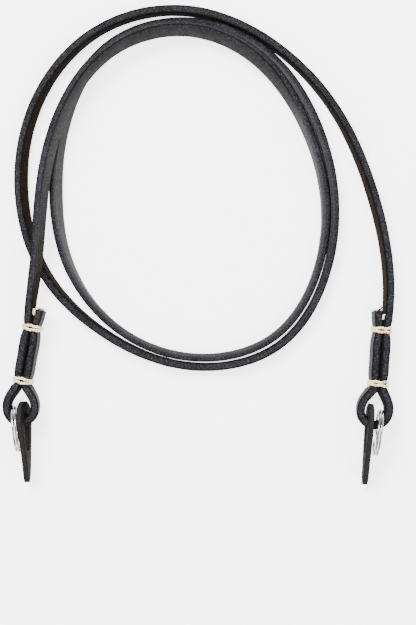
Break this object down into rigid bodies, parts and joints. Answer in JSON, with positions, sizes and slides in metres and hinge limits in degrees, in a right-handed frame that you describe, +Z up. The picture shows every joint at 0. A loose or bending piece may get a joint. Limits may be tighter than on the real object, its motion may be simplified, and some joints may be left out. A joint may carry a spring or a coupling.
{
  "type": "coiled leather neck strap",
  "caption": "Thin leather neck strap laid in a loose coil, with a split ring and a leather guard in each thread-bound end.",
  "frame": {"origin": "middle of the bottom of the whole box, on the surface that the strap lies on", "axes": "+Z up from the surface, +Y from the two ends towards the coil, +X from the left end to the right end"},
  "size_m": [0.1298, 0.1596, 0.0155],
  "materials": {
    "strap_leather": "fine matte grain",
    "guard_leather": "matte with raw edges",
    "linen_thread": "waxed twist",
    "polished_steel": "polished"
  },
  "bodies": {
    "root": {"strap": "strap_leather", "binding_upper_left": "linen_thread", "binding_lower_left": "linen_thread", "binding_upper_right": "linen_thread", "binding_lower_right": "linen_thread", "split_ring_left": "polished_steel", "split_ring_right": "polished_steel", "guard_left": "guard_leather", "guard_right": "guard_leather"}
  },
  "joints": []
}
